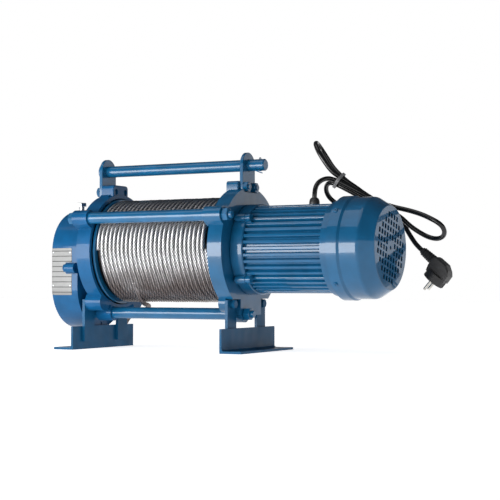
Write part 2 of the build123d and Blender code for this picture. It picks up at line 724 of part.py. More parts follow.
def make_fan_cover():
    outside = cover_section(0, REAR_END + 0.2)
    inside = cover_section(SHEET, REAR_END - 1)
    drum_axis = Axis((0, 0, UP), (1, 0, 0))
    spots = []
    for row, count in enumerate(SLOT_ROWS):
        up = (4.5 - row) * SLOT_PITCH[1]
        for k in range(count):
            across = (k - (count - 1) / 2) * SLOT_PITCH[0]
            if abs(across) > SLOT_PITCH[0] or count < 10 or abs(up) > SLOT_PITCH[1]:
                spots.append((across, up))
    with BuildPart() as cover:
        add(outside)
        revolve(axis=drum_axis)
        add(inside)
        revolve(axis=drum_axis, mode=Mode.SUBTRACT)
        fillet(cover.faces().sort_by(Axis.X)[-1].outer_wire().edges(), radius=2)
        with BuildSketch(facing(RIGHT_END - 8)):
            with Locations(Location((0, 0, 0), (0, 0, SLOT_TURN))):
                with Locations(*spots):
                    RectangleRounded(*SLOT, 1.1)
            Circle(3.2)
        extrude(amount=10, mode=Mode.SUBTRACT)
        for angle in SCREW_ANGLES:
            with BuildSketch(radial_plane(SCREW_X, 75, angle)):
                Circle(2.3)
            extrude(amount=20, mode=Mode.SUBTRACT)
    return cover.part


def make_cover_screws():
    """Round-head screws with a cross slot, set around the fan cover's rim."""
    parts = []
    for angle in SCREW_ANGLES:
        with BuildPart() as screw:
            with BuildSketch(radial_plane(SCREW_X, 79.5, angle)):
                Circle(1.85)
            extrude(amount=6)
            with BuildSketch(radial_plane(SCREW_X, FAN_COVER_R, angle)):
                Circle(3.7)
            extrude(amount=2.2, taper=18)
            fillet(screw.edges().group_by(SortBy.LENGTH)[-1], radius=0.3)
            with BuildSketch(radial_plane(SCREW_X, FAN_COVER_R + 1.2, angle)):
                Rectangle(4.2, 0.8)
                Rectangle(0.8, 4.2)
            extrude(amount=2, mode=Mode.SUBTRACT)
        parts.append(screw.part)
    return together(*parts)


def make_stator_core():
    return ring(90, 204, ROTOR_R + 0.6, STATOR_R)


def make_windings():
    return together(*[turned([(x0, 42), (x0 + side * 9, 43), (x0 + side * 10, 46), (x0 + side * 10, 52),
                              (x0 + side * 8, 55), (x0, 55)]) for x0, side in ((90, -1), (204, 1))])


def make_rotor_core():
    with BuildPart() as rotor:
        add(ring(92, 202, 10, ROTOR_R))
        add(ring(202, 208, 24, 36))
        add(ring(86, 92, 24, 36))
    return rotor.part


def make_motor_shaft():
    """The long shaft from the fan through the hollow drum to the pinion and its end bearing."""
    shaft = turned([(-299, 0), (-299, 6.5), (-298, 7.5), (-288, 7.5), (-288, 8.5), (-275, 8.5), (-273, 7),
                    (-255, 7), (-253, 8.5), (56, 8.5), (56, 10), (217, 10), (217, 8.5), (292, 8.5),
                    (292, 0)])
    teeth = gear_outline(PINION_TEETH, FAST_MODULE, FAST_PINION_R - 1.05 * FAST_MODULE,
                         FAST_PINION_R + 0.75 * FAST_MODULE, FIRST_TOOTH, -TOOTH_GAP / 2)
    return shaft + wheel(*FAST_PINION, teeth, 0, 0)


def make_countershaft():
    shaft = turned([(-299, 0), (-299, 6.5), (-298, 7.5), (-289, 7.5), (-289, 11), (-271, 11), (-271, 10),
                    (-252, 10), (-239, 10), (-239, 8.5), (-225, 8.5), (-225, 9), (-208.6, 9),
                    (-208.6, 0)], 0, -GEAR_DROP)
    teeth = gear_outline(PINION_TEETH, SLOW_MODULE, SLOW_PINION_R - 1.05 * SLOW_MODULE,
                         SLOW_PINION_R + 0.75 * SLOW_MODULE, FIRST_TOOTH, -TOOTH_GAP / 2)
    return shaft + wheel(*SLOW_PINION, teeth, 0, -GEAR_DROP)


def make_countershaft_gear():
    teeth = gear_outline(BIG_TEETH, FAST_MODULE, BIG_R - 1.05 * FAST_MODULE, BIG_R + 0.75 * FAST_MODULE,
                         -FIRST_TOOTH + pi / BIG_TEETH, -TOOTH_GAP / 2)
    gear = wheel(*BIG_WHEEL, teeth, 0, -GEAR_DROP, 10)
    with BuildPart() as body:
        add(gear)
        with BuildSketch(facing(BIG_WHEEL[0] - 1, 0, -GEAR_DROP)):
            with PolarLocations(31, 6):
                Circle(9)
        extrude(amount=20, mode=Mode.SUBTRACT)
    return body.part


# ---- drum ----
def make_ring_gear():
    space = gear_outline(RING_TEETH, SLOW_MODULE, RING_R - 0.75 * SLOW_MODULE, RING_R + 1.05 * SLOW_MODULE,
                         FIRST_TOOTH, TOOTH_GAP / 2)
    with BuildPart() as gear:
        with BuildSketch(facing(RING_GEAR[0])):
            Circle(RING_GEAR_R)
            with BuildLine():
                Polyline(*space, close=True)
            make_face(mode=Mode.SUBTRACT)
        extrude(amount=RING_GEAR[1] - RING_GEAR[0])
        with BuildSketch(facing(-208)):
            Circle(RING_GEAR_R)
            Circle(34, mode=Mode.SUBTRACT)
            with PolarLocations(GEAR_BOLT_R, 6):
                Circle(3.3, mode=Mode.SUBTRACT)
        extrude(amount=3)
    return gear.part


def make_ring_gear_bolts():
    parts = [ring(-211.4, -208, 0, 5, y, up) + ring(-208, -199, 0, 3, y, up)
             for y, up in round_spots(GEAR_BOLT_R, range(0, 360, 60))]
    return together(*parts)


def make_drum_flanges():
    left = turned([(-205, 31), (-205, FLANGE_R - 1), (-204.2, FLANGE_R), (-201.8, FLANGE_R),
                   (-201, FLANGE_R - 1), (-201, 37), (-186, 37), (-186, 26), (-188, 26), (-188, 31)])
    right = turned([(30, 31), (30, FLANGE_R), (22, FLANGE_R), (22, 37), (11, 37), (11, 26), (13, 26),
                    (13, 31)])
    with BuildPart() as flanges:
        add(left)
        add(right)
        with BuildSketch(facing(-206)):
            with PolarLocations(GEAR_BOLT_R, 6):
                Circle(3)
        extrude(amount=8, mode=Mode.SUBTRACT)
    return flanges.part


def make_rope_winding():
    """The wound rope as one body, its outside scalloped by the turns of the top layer."""
    pitch = (WINDING[1] - WINDING[0]) / ROPE_TURNS
    top = DRUM_TUBE[1] + ROPE_LAYER_STEP * (ROPE_LAYERS - 1) + ROPE_D + 0.2
    valley = top - 2.6
    with BuildPart() as winding:
        with BuildSketch(Plane(origin=(0, 0, UP), x_dir=(1, 0, 0), z_dir=(0, -1, 0))):
            with BuildLine():
                for turn in range(ROPE_TURNS):
                    x = WINDING[0] + turn * pitch
                    ThreePointArc((x, valley), (x + pitch / 2, top), (x + pitch, valley))
                Polyline((WINDING[1], valley), (WINDING[1], DRUM_TUBE[1]), (WINDING[0], DRUM_TUBE[1]),
                         (WINDING[0], valley))
            make_face()
        revolve(axis=Axis((0, 0, UP), (1, 0, 0)))
    return winding.part


def make_rope_anchor():
    """The clamp that holds the rope's inner end against the right flange."""
    with BuildPart() as clamp:
        with BuildSketch(facing(30, 0, ANCHOR_UP)):
            RectangleRounded(26, 14, 2)
        extrude(amount=6)
        with BuildSketch(facing(36)):
            with Locations((-7, ANCHOR_UP), (7, ANCHOR_UP)):
                RegularPolygon(5, 6)
        extrude(amount=4)
    return clamp.part


# ---- brake, fan and bearings ----
def make_brake_magnet():
    with BuildPart() as magnet:
        add(ring(231, 251, 18, 45))
        with BuildSketch(facing(251)):
            with PolarLocations(GUIDE_R, 3, start_angle=90):
                Circle(2.5)
        extrude(amount=10)
        with BuildSketch(facing(245)):
            Circle(38)
            Circle(26, mode=Mode.SUBTRACT)
        extrude(amount=7, mode=Mode.SUBTRACT)
    return magnet.part


def make_brake_coil():
    return ring(245, 250.6, 26.2, 37.8)


def make_brake_armature():
    with BuildPart() as plate:
        with BuildSketch(facing(252)):
            Circle(45)
            Circle(12, mode=Mode.SUBTRACT)
            with PolarLocations(GUIDE_R, 3, start_angle=90):
                Circle(3, mode=Mode.SUBTRACT)
        extrude(amount=4)
    return plate.part


def make_brake_disc():
    return turned([(256.1, 16), (256.1, 34), (263, 34), (263, 16), (265, 16), (265, 8.5), (257, 8.5),
                   (257, 16)])


def make_cooling_fan():
    with BuildPart() as fan:
        add(ring(266, 287, 8.5, 14))
        add(ring(268, 270, 14, 66))
        with BuildSketch(facing(270)):
            with PolarLocations(41.5, 8):
                Rectangle(57, 2.4)
        extrude(amount=15)
    return fan.part


def bearing_rings(x0, width, bore_r, outside_r, up=0.0):
    """Inner and outer ring of a ball bearing, each chamfered, with the balls' gap between them."""
    land = 0.3 * (outside_r - bore_r)
    rings = []
    for low, high in ((bore_r, bore_r + land), (outside_r - land, outside_r)):
        rings.append(turned([(x0 + 0.6, low), (x0 + width - 0.6, low), (x0 + width, low + 0.6),
                             (x0 + width, high - 0.6), (x0 + width - 0.6, high), (x0 + 0.6, high),
                             (x0, high - 0.6), (x0, low + 0.6)], 0, up))
    return rings


# ---- free rope end and power cord ----
def corner_radii(points):
    """For each corner of a route, the largest radius that its two runs allow."""
    radii = []
    for before, here, after in zip(points, points[1:], points[2:]):
        back = Vector(*here) - Vector(*before)
        ahead = Vector(*after) - Vector(*here)
        turn = radians(back.get_angle(ahead))
        radii.append(0.45 * min(back.length, ahead.length) / tan(turn / 2))
    return radii


def flexible(points, diameter, name):
    """A tube along straight runs and tangent arcs; it prints its length and its radii."""
    radii = corner_radii(points)
    path = FilletPolyline(*points, radius=radii)
    with BuildPart() as tube:
        with BuildLine():
            add(path)
        with BuildSketch(Plane(origin=path @ 0, z_dir=path % 0)):
            Circle(diameter / 2)
        sweep()
    ratio = tube.part.volume / (pi * diameter ** 2 / 4) / path.length
    print(name, "length", round(path.length, 1), "volume ratio", round(ratio, 4))
    print("  radii", [round(r, 1) for r in radii], "tightest", round(min(radii), 1))
    return tube.part


def make_cord_gland():
    """The rubber gland on the motor's top pad, turned about its upright axis."""
    with BuildPart() as gland:
        with BuildSketch(Plane(origin=(GLAND_X, 0, UP), x_dir=(1, 0, 0), z_dir=(0, -1, 0))):
            with BuildLine():
                Polyline((0, 60), (6.4, 60), (6.4, 72.8), (8.7, 72.8), (8.7, 77), (8.1, 80), (6.8, 82.4),
                         (5, 84), (4, 84), (4, 81), (0, 81), close=True)
            make_face()
        revolve(axis=Axis((GLAND_X, 0, UP), (0, 0, 1)))
    return gland.part


def make_cord_tie():
    """The band round the four strands of the hank."""
    band = Plane(origin=TIE_AT, x_dir=(0.371, -0.928, 0), z_dir=TIE_ALONG)
    with BuildPart() as tie:
        with BuildSketch(band):
            with BuildLine():
                Polyline(*TIE_STRANDS, close=True)
            make_face()
            offset(amount=CORD_D / 2 + 3.3)
        extrude(amount=2.5, both=True)
        with BuildSketch(band):
            with BuildLine():
                Polyline(*TIE_STRANDS, close=True)
            make_face()
            offset(amount=CORD_D / 2 + 2.4)
        extrude(amount=4, both=True, mode=Mode.SUBTRACT)
    return tie.part


# ---- plug: its own frame has the face at z = 0, the body above it and the cord leaving along -x ----
def make_plug_body():
    with BuildPart() as plug:
        with BuildSketch(Plane.XY):
            Circle(19)
        extrude(amount=14)
        with BuildSketch(Plane.XZ):
            with BuildLine():
                Polyline((-18, 8), (-21, 17.5), (-21, 34.5), (-15.5, 36.3), (3.1, 36.4), (12, 31),
                         (17.6, 24), (18.4, 10), close=True)
            make_face()
        extrude(amount=12, both=True)
        fillet(plug.edges().filter_by(GeomType.LINE).filter_by(lambda e: e.center().Z > 30), 3)
        with BuildSketch(Plane(origin=(-47, 0, 26), x_dir=(1, 0, 0), z_dir=(0, -1, 0))):
            with BuildLine():
                Polyline((0, 4.5), (0, 5.6), (26.5, 7.6), (26.5, 0), (7.5, 0), (7.5, 4.5), close=True)
            make_face()
        revolve(axis=Axis((-47, 0, 26), (1, 0, 0)))
        for rib in range(6):
            with BuildSketch(Plane(origin=(-44 + rib * 4, 0, 26), x_dir=(0, 1, 0), z_dir=(1, 0, 0))):
                Circle(7.2 + rib * 0.25)
                Circle(LUG_HOLE_R, mode=Mode.SUBTRACT)
            extrude(amount=2)
        for side in (-1, 1):
            with BuildSketch(Plane.XY):
                with Locations((side * 18.2, 0)):
                    Rectangle(4, 5)
            extrude(amount=9, mode=Mode.SUBTRACT)
        with BuildSketch(Plane.XY):
            with Locations((0, -PLUG_PIN_Y), (0, PLUG_PIN_Y)):
                Circle(PLUG_PIN_R)
        extrude(amount=8, mode=Mode.SUBTRACT)
    return plug.part


def make_plug_pins():
    with BuildPart() as pins:
        with BuildSketch(Plane(origin=(0, 0, 8), x_dir=(1, 0, 0), z_dir=(0, 0, -1))):
            with Locations((0, -PLUG_PIN_Y), (0, PLUG_PIN_Y)):
                Circle(PLUG_PIN_R)
        extrude(amount=27)
        fillet(pins.edges().group_by(Axis.Z)[0], 1.6)
    return pins.part


# ---- rope end: its own frame has the ferrule's start at the origin and the rope running on along +x ----
def make_rope_ferrule():
    with BuildPart() as ferrule:
        with BuildSketch(Plane.XZ):
            with BuildLine():
                Polyline((0, 4.1), (0, 7), (1.5, 8.2), (20.5, 8.2), (22, 7.6), (22, 0), (8.4, 0),
                         (8.4, 4.1), close=True)
            make_face()
        revolve(axis=Axis.X)
    return ferrule.part


def make_rope_eye():
    """The rope's loop round the thimble, both legs ending on the ferrule."""
    touch = (EYE_X + EYE_R * cos(radians(112)), EYE_R * sin(radians(112)))
    along = (cos(radians(22)), sin(radians(22)))
    with BuildPart() as eye:
        with BuildLine() as path:
            Spline((22, EYE_LEG), touch, tangents=[(1, 0), along])
            ThreePointArc(touch, (EYE_X + EYE_R, 0), (touch[0], -touch[1]))
            Spline((touch[0], -touch[1]), (22, -EYE_LEG), tangents=[(-along[0], along[1]), (-1, 0)])
        with BuildSketch(Plane(origin=path.line @ 0, z_dir=path.line % 0)):
            Circle(ROPE_D / 2 - 0.05)
        sweep()
    return eye.part


def make_rope_thimble():
    """A grooved ring inside the rope's loop."""
    with BuildPart() as thimble:
        with BuildSketch(Plane(origin=(EYE_X, 0, 0), x_dir=(1, 0, 0), z_dir=(0, -1, 0))):
            Polygon((7, -4.4), (8.8, -4.4), (9.4, -1.5), (9.4, 1.5), (8.8, 4.4), (7, 4.4), align=None)
        revolve(axis=Axis((EYE_X, 0, 0), (0, 0, 1)))
    return thimble.part


# ---- hook: its own frame has the middle of the hook's eye at the origin and the shank along +x ----
def make_hook_body():
    with BuildPart() as hook:
        with BuildSketch(Plane.XY):
            with Locations((HOOK_EYE_R, 0)):
                Circle(HOOK_EYE_BAR)
        revolve(axis=Axis.Y)
        with BuildLine():
            shank = Line((12.5, 0), (BOWL_X - sqrt(3) * BOWL_R, 0))
            rise = (BOWL_X + BOWL_R * cos(radians(150)), BOWL_R / 2)
            TangentArc(shank @ 1, rise, tangent=(1, 0))
            ThreePointArc(rise, (BOWL_X + BOWL_R, 0), HOOK_TIP)
        with BuildSketch(Plane(origin=(12.5, 0, 0), z_dir=(1, 0, 0))):
            Circle(HOOK_BAR)
        sweep()
        with Locations(HOOK_TIP):
            Sphere(HOOK_BAR)
        with BuildSketch(Plane(origin=(0, 0, -4), x_dir=(1, 0, 0), z_dir=(0, 0, 1))):
            with Locations(LATCH_AT):
                Circle(3)
            with Locations((LATCH_AT[0], LATCH_AT[1] + 3)):
                Rectangle(6, 6)
        extrude(amount=8)
        with BuildSketch(Plane(origin=(0, 0, -6), x_dir=(1, 0, 0), z_dir=(0, 0, 1))):
            with Locations(LATCH_AT):
                Circle(LATCH_PIN_R)
        extrude(amount=12, mode=Mode.SUBTRACT)
    return hook.part


def make_hook_latch():
    """The bent sheet latch, closed: two cheeks on the pin and a tongue that ends inside the hook's tip."""
    closed = Plane(origin=(*LATCH_AT, 0), x_dir=(cos(LATCH_TILT), sin(LATCH_TILT), 0), z_dir=(0, 0, 1))
    with BuildPart() as latch:
        for side in (-1, 1):
            with BuildSketch(closed.offset(side * 4.8)):
                Circle(3)
                with Locations((3, 0)):
                    Rectangle(6, 3.4)
                Circle(LATCH_PIN_R + 0.05, mode=Mode.SUBTRACT)
            extrude(amount=0.6, both=True)
        with BuildSketch(closed.offset(-5.4)):
            with Locations(((4.5 + LATCH_REACH) / 2, 0)):
                Rectangle(LATCH_REACH - 4.5, 1.4)
        extrude(amount=10.8)
    return latch.part


def make_hook_latch_pin():
    with BuildPart() as pin:
        with Locations((*LATCH_AT, 0)):
            Cylinder(LATCH_PIN_R, 12.4)
            with Locations((0, 0, -6.6), (0, 0, 6.6)):
                Cylinder(2.6, 1.2)
    return pin.part


# ---- the cord's route, from the gland to the plug ----
CORD_ROUTE = [
    (172, 0, 254), (172, 0, 269), (173.5, 13, 282.5), (182.5, 29, 289.5), (194, 41, 285),
    (208, 46, 278), (225.5, 51, 268), (243, 57, 257.5), (262.5, 61, 248), (284.5, 64, 240),
    (309.5, 63, 234.5), (334.5, 61, 227), (355.5, 59, 217.5), (369, 60, 209), (373, 66, 200),
    (368.5, 75, 191), (356, 83, 186.5), (339.5, 87, 189), (323, 86, 197.5), (307, 82, 209),
    (293, 78, 223.5), (277, 74, 233.5), (259, 70, 241), (239.5, 65, 250.5), (222.5, 58, 261.5),
    (205, 53, 271.5), (191, 50, 279), (175.5, 53, 284), (165, 61, 279), (161, 70, 269),
    (164, 78, 258.5), (175, 85, 248.5), (197, 94, 231), (217, 100, 214), (236, 104, 201),
    (253, 106, 195), (268, 104, 202), (274.5, 95, 217), (270, 85, 233), (255.5, 78, 246.5),
    (234.5, 68, 261.5), (221.5, 61, 273), (204, 55, 285.5), (191.5, 50, 293.5), (180.5, 46, 303),
    (170, 42, 319), (160, 41, 335), (152.5, 47, 346.5), (146.5, 59, 352), (143, 73, 353),
    (145, 83.5, 345), (157.5, 81, 328), (172.5, 72, 310.5), (188, 66, 297), (200, 68, 285.5),
    (216, 73, 273.5), (230, 79, 263), (244.5, 87, 252.5), (260, 94, 241.5), (275, 99, 230.5),
    (287.5, 100, 217.5), (295, 98, 204), (305, 95, 189.5), (316, 93, 175.5), (327.8, 93, 165.5)]
ROPE_ROUTE = [
    (-147, -14, 77.8), (-149, 0, 76), (-158, 15, 73.5), (-175, 31, 67.5), (-196, 48, 61), (-219, 66, 57),
    (-243, 84, 55), (-261, 98, 42.5), (-279, 114, 28), (-295.6, 130, 15.9), (-305.9, 139.4, 15.9)]
PLUG_PLACE = Plane(origin=(343.2, 93, 118.3), x_dir=(0.757, 0, -0.653), z_dir=(0.653, 0, 0.757)).location
ROPE_END_PLACE = Plane(origin=(-300, 134, 15.9), x_dir=(-0.74, 0.673, 0), z_dir=(0, 0, 1)).location
HOOK_PLACE = ROPE_END_PLACE * Location((60.25, 0, 0), (0, 9.6, 0))

os.makedirs("parts", exist_ok=True)
cover_rings = bearing_rings(-300, 11, 7.5, 17.5)
lower_rings = bearing_rings(-300, 11, 7.5, 17.5, -GEAR_DROP)
wall_rings = bearing_rings(-239, 12, 8.5, 20, -GEAR_DROP)
front_rings = bearing_rings(56, 14, 10, 23.5)
rear_rings = bearing_rings(219, 12, 8.5, 20)
left_drum_rings = bearing_rings(-204, 16, 15, 31)
right_drum_rings = bearing_rings(14, 16, 15, 31)

pieces = {
    "gear_cover": make_gear_cover(),
    "gear_cover_bolts": make_cover_bolts(),
    "gearbox_housing": make_gearbox_housing(),
    "oil_filler_plug": make_oil_plug(),
    "rating_plate": make_rating_plate(),
    "rating_plate_rivets": make_plate_rivets(),
    "motor_bracket": make_motor_bracket(),
    "tie_rod_front": make_tie_rod(*TIE_SPOTS[0]),
    "tie_rod_lower": make_tie_rod(*TIE_SPOTS[1]),
    "tie_rod_rear": make_tie_rod(*TIE_SPOTS[2]),
    "tie_rod_nuts": make_tie_rod_nuts(),
    "hanger_lug_left": make_lug(-239),
    "hanger_lug_right": make_lug(44),
    "hanger_lug_bolts": make_lug_bolts(),
    "hanger_rod": make_hanger_rod(),
    "hanger_cotter_pin": make_cotter_pin(),
    "foot_angle_left": make_foot_angle(LEFT_LEG_X, -1),
    "foot_angle_right": make_foot_angle(RIGHT_LEG_X, 1),
    "foot_bars": together(make_foot_bars(LEFT_LEG_X), make_foot_bars(RIGHT_LEG_X - BAR[1])),
    "foot_bolts": make_foot_bolts(),
    "motor_front_shield": make_front_shield(),
    "motor_housing": make_motor_housing(),
    "motor_rear_shield": make_rear_shield(),
    "shield_screws": make_shield_screws(),
    "stator_core": make_stator_core(),
    "stator_windings": make_windings(),
    "fan_cover": make_fan_cover(),
    "fan_cover_screws": make_cover_screws(),
    "brake_magnet": make_brake_magnet(),
    "brake_coil": make_brake_coil(),
    "brake_armature": make_brake_armature(),
    "cord_gland": make_cord_gland(),
    "power_cord": flexible(CORD_ROUTE, CORD_D, "power_cord"),
    "cord_tie": make_cord_tie(),
    "plug_body": PLUG_PLACE * make_plug_body(),
    "plug_pins": PLUG_PLACE * make_plug_pins(),
    "rope_tail": flexible(ROPE_ROUTE, ROPE_D, "rope_tail"),
    "rope_ferrule": ROPE_END_PLACE * make_rope_ferrule(),
    "rope_eye": ROPE_END_PLACE * make_rope_eye(),
    "rope_thimble": ROPE_END_PLACE * make_rope_thimble(),
    "hook_body": HOOK_PLACE * make_hook_body(),
    "hook_latch": HOOK_PLACE * make_hook_latch(),
    "hook_latch_pin": HOOK_PLACE * make_hook_latch_pin(),
    "shaft_bearing_outer_rings": together(cover_rings[1], lower_rings[1], wall_rings[1], front_rings[1],
                                          rear_rings[1]),
    "drum_bearing_inner_rings": together(left_drum_rings[0], right_drum_rings[0]),
    "drum_bearing_outer_rings": together(left_drum_rings[1], right_drum_rings[1]),
    "countershaft_bearing_rings": together(lower_rings[0], wall_rings[0]),
    "motor_shaft_bearing_rings": together(cover_rings[0], front_rings[0], rear_rings[0]),
    "drum_tube": ring(WINDING[0], WINDING[1], *DRUM_TUBE),
    "drum_flanges": make_drum_flanges(),
    "ring_gear": make_ring_gear(),
    "ring_gear_bolts": make_ring_gear_bolts(),
    "rope_winding": make_rope_winding(),
    "rope_anchor_clamp": make_rope_anchor(),
    "countershaft": make_countershaft(),
    "countershaft_gear": make_countershaft_gear(),
    "motor_shaft": make_motor_shaft(),
    "rotor_core": make_rotor_core(),
    "brake_disc": make_brake_disc(),
    "cooling_fan": make_cooling_fan(),
}
for name, piece in pieces.items():
    save(piece, name)
print(len(pieces), "nodes")
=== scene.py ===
import bpy
from math import cos, pi, radians, sin, sqrt, tau
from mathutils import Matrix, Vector


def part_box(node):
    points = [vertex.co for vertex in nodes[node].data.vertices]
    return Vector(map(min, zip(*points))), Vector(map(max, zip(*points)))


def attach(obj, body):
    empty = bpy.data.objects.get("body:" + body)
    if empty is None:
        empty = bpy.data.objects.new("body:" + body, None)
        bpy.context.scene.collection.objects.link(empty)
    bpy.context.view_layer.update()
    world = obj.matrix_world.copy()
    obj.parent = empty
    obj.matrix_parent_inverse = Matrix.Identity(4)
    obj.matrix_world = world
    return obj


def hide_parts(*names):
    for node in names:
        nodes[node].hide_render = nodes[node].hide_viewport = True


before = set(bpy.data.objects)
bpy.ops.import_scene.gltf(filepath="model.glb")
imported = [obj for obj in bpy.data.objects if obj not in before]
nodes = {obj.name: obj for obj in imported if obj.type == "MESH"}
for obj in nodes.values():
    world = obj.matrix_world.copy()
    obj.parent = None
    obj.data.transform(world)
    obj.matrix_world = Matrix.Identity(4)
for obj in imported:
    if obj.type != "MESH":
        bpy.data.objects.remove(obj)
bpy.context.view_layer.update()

# ---- the drum's axis, and the box of its rope ----
AXIS = 0.171                                   # height of the drum axis
winding_low, winding_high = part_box("rope_winding")

# ---- camera: to the right of the front, a little below the drum's axis, tilted slightly up ----
CAMERA_AT = (1.1036, -1.9778, 0.1118)
CAMERA_TURN = radians(28)
CAMERA_PITCH = radians(1.5)
LENS = 95.8


def make_camera():
    """The scene's camera, at the place and angles above."""
    data = bpy.data.cameras.new("camera")
    data.lens = LENS
    data.sensor_width = 36
    camera = bpy.data.objects.new("camera", data)
    bpy.context.scene.collection.objects.link(camera)
    camera.location = CAMERA_AT
    camera.rotation_euler = (radians(90) + CAMERA_PITCH, 0, CAMERA_TURN)
    bpy.context.scene.camera = camera


make_camera()


# ---- routes of the two free lines, as in the CAD ----
CORD_D = 0.008
ROPE_D = 0.008
CORD_ROUTE = [
    (172, 0, 254), (172, 0, 269), (173.5, 13, 282.5), (182.5, 29, 289.5), (194, 41, 285),
    (208, 46, 278), (225.5, 51, 268), (243, 57, 257.5), (262.5, 61, 248), (284.5, 64, 240),
    (309.5, 63, 234.5), (334.5, 61, 227), (355.5, 59, 217.5), (369, 60, 209), (373, 66, 200),
    (368.5, 75, 191), (356, 83, 186.5), (339.5, 87, 189), (323, 86, 197.5), (307, 82, 209),
    (293, 78, 223.5), (277, 74, 233.5), (259, 70, 241), (239.5, 65, 250.5), (222.5, 58, 261.5),
    (205, 53, 271.5), (191, 50, 279), (175.5, 53, 284), (165, 61, 279), (161, 70, 269),
    (164, 78, 258.5), (175, 85, 248.5), (197, 94, 231), (217, 100, 214), (236, 104, 201),
    (253, 106, 195), (268, 104, 202), (274.5, 95, 217), (270, 85, 233), (255.5, 78, 246.5),
    (234.5, 68, 261.5), (221.5, 61, 273), (204, 55, 285.5), (191.5, 50, 293.5), (180.5, 46, 303),
    (170, 42, 319), (160, 41, 335), (152.5, 47, 346.5), (146.5, 59, 352), (143, 73, 353),
    (145, 83.5, 345), (157.5, 81, 328), (172.5, 72, 310.5), (188, 66, 297), (200, 68, 285.5),
    (216, 73, 273.5), (230, 79, 263), (244.5, 87, 252.5), (260, 94, 241.5), (275, 99, 230.5),
    (287.5, 100, 217.5), (295, 98, 204), (305, 95, 189.5), (316, 93, 175.5), (327.8, 93, 165.5)]
ROPE_ROUTE = [
    (-147, -14, 77.8), (-149, 0, 76), (-158, 15, 73.5), (-175, 31, 67.5), (-196, 48, 61), (-219, 66, 57),
    (-243, 84, 55), (-261, 98, 42.5), (-279, 114, 28), (-295.6, 130, 15.9), (-305.9, 139.4, 15.9)]
MM = 0.001
ROUTE_STEPS = 12                               # points made for each span of a route


def make_route(name, points):
    """A smooth NURBS curve with a route's points as its control points."""
    data = bpy.data.curves.new(name, "CURVE")
    data.dimensions = "3D"
    data.resolution_u = ROUTE_STEPS
    spline = data.splines.new("NURBS")
    spline.points.add(len(points) - 1)
    for point, at in zip(spline.points, points):
        point.co = (at[0] * MM, at[1] * MM, at[2] * MM, 1)
    spline.order_u = 3
    spline.use_endpoint_u = True
    curve = bpy.data.objects.new(name, data)
    bpy.context.scene.collection.objects.link(curve)
    return curve


def route_points(curve):
    """The points along a curve that has no bevel."""
    mesh = bpy.data.meshes.new_from_object(curve)
    points = [v.co.copy() for v in mesh.vertices]
    bpy.data.meshes.remove(mesh)
    return points


# ---- mesh helpers ----
def add_mesh(name, verts, faces, smooth=True):
    """A new object from lists of points and faces."""
    mesh = bpy.data.meshes.new(name)
    mesh.from_pydata([tuple(v) for v in verts], [], faces)
    mesh.update()
    obj = bpy.data.objects.new(name, mesh)
    bpy.context.scene.collection.objects.link(obj)
    if smooth:
        mesh.polygons.foreach_set("use_smooth", [True] * len(mesh.polygons))
    return obj


def tube_faces(rings, around):
    """Faces of a closed tube of rings with flat end caps."""
    faces = []
    for i in range(rings - 1):
        for k in range(around):
            a, b = i * around + k, i * around + (k + 1) % around
            faces.append((a, b, b + around, a + around))
    faces.append(tuple(range(around))[::-1])
    faces.append(tuple((rings - 1) * around + k for k in range(around)))
    return faces


STRANDS = 6
PER_STRAND = 4
GROOVE = "groove"                              # 0 in the valleys between strands, 1 on their backs
GROOVE_VALUES = [0.0, 0.7, 1.0, 0.7]


def strand_section(radius):
    """Radii around a six-strand rope, from one valley to the next, at equal angles."""
    strand_r = radius / 3
    centre_r = radius - strand_r
    radii = []
    for k in range(PER_STRAND):
        off = pi / STRANDS * (2 * k / PER_STRAND - 1)
        inside = max(strand_r ** 2 - (centre_r * sin(off)) ** 2, 0)
        radii.append(centre_r * cos(off) + sqrt(inside))
    return radii * STRANDS


SHORTEST_STEP = 0.3                            # a last step isn't shorter than this part of a full one


def resample(points, step):
    """Points at equal steps along a polyline, with both ends kept."""
    out = [points[0]]
    left = step
    for a, b in zip(points, points[1:]):
        length = (b - a).length
        while length >= left > 0:
            a = a + (b - a) * (left / length)
            out.append(a)
            length = (b - a).length
            left = step
        left -= length
    if (out[-1] - points[-1]).length > step * SHORTEST_STEP:
        out.append(points[-1])
    else:
        out[-1] = points[-1]
    return out


def laid_rope(name, points, diameter, lay):
    """A six-strand rope laid along points; lay is the length of one full twist."""
    section = strand_section(diameter / 2)
    around = len(section)
    verts = []
    along = 0.0
    tangent = (points[1] - points[0]).normalized()
    side = tangent.orthogonal().normalized()
    for i, point in enumerate(points):
        ahead = points[min(i + 1, len(points) - 1)] - points[max(i - 1, 0)]
        ahead.normalize()
        side = (side - ahead * side.dot(ahead)).normalized()
        up = ahead.cross(side)
        if i:
            along += (point - points[i - 1]).length
        twist = tau * along / lay
        for k, radius in enumerate(section):
            angle = tau * k / around + twist
            verts.append(point + side * (radius * cos(angle)) + up * (radius * sin(angle)))
    rope = add_mesh(name, verts, tube_faces(len(points), around))
    values = rope.data.attributes.new(GROOVE, "FLOAT", "POINT")
    values.data.foreach_set("value", GROOVE_VALUES * (STRANDS * len(points)))
    return rope


# ---- materials ----
def new_material(name, color, roughness, metallic=0.0, coat=0.0, coat_roughness=0.08, specular=0.5):
    """A Principled material, with its even values set on the shader's own sockets."""
    material = bpy.data.materials.new(name)
    material.use_nodes = True
    shader = material.node_tree.nodes["Principled BSDF"]
    shader.inputs["Base Color"].default_value = (*color, 1)
    shader.inputs["Roughness"].default_value = roughness
    shader.inputs["Metallic"].default_value = metallic
    shader.inputs["Coat Weight"].default_value = coat
    shader.inputs["Coat Roughness"].default_value = coat_roughness
    shader.inputs["Specular IOR Level"].default_value = specular
    return material


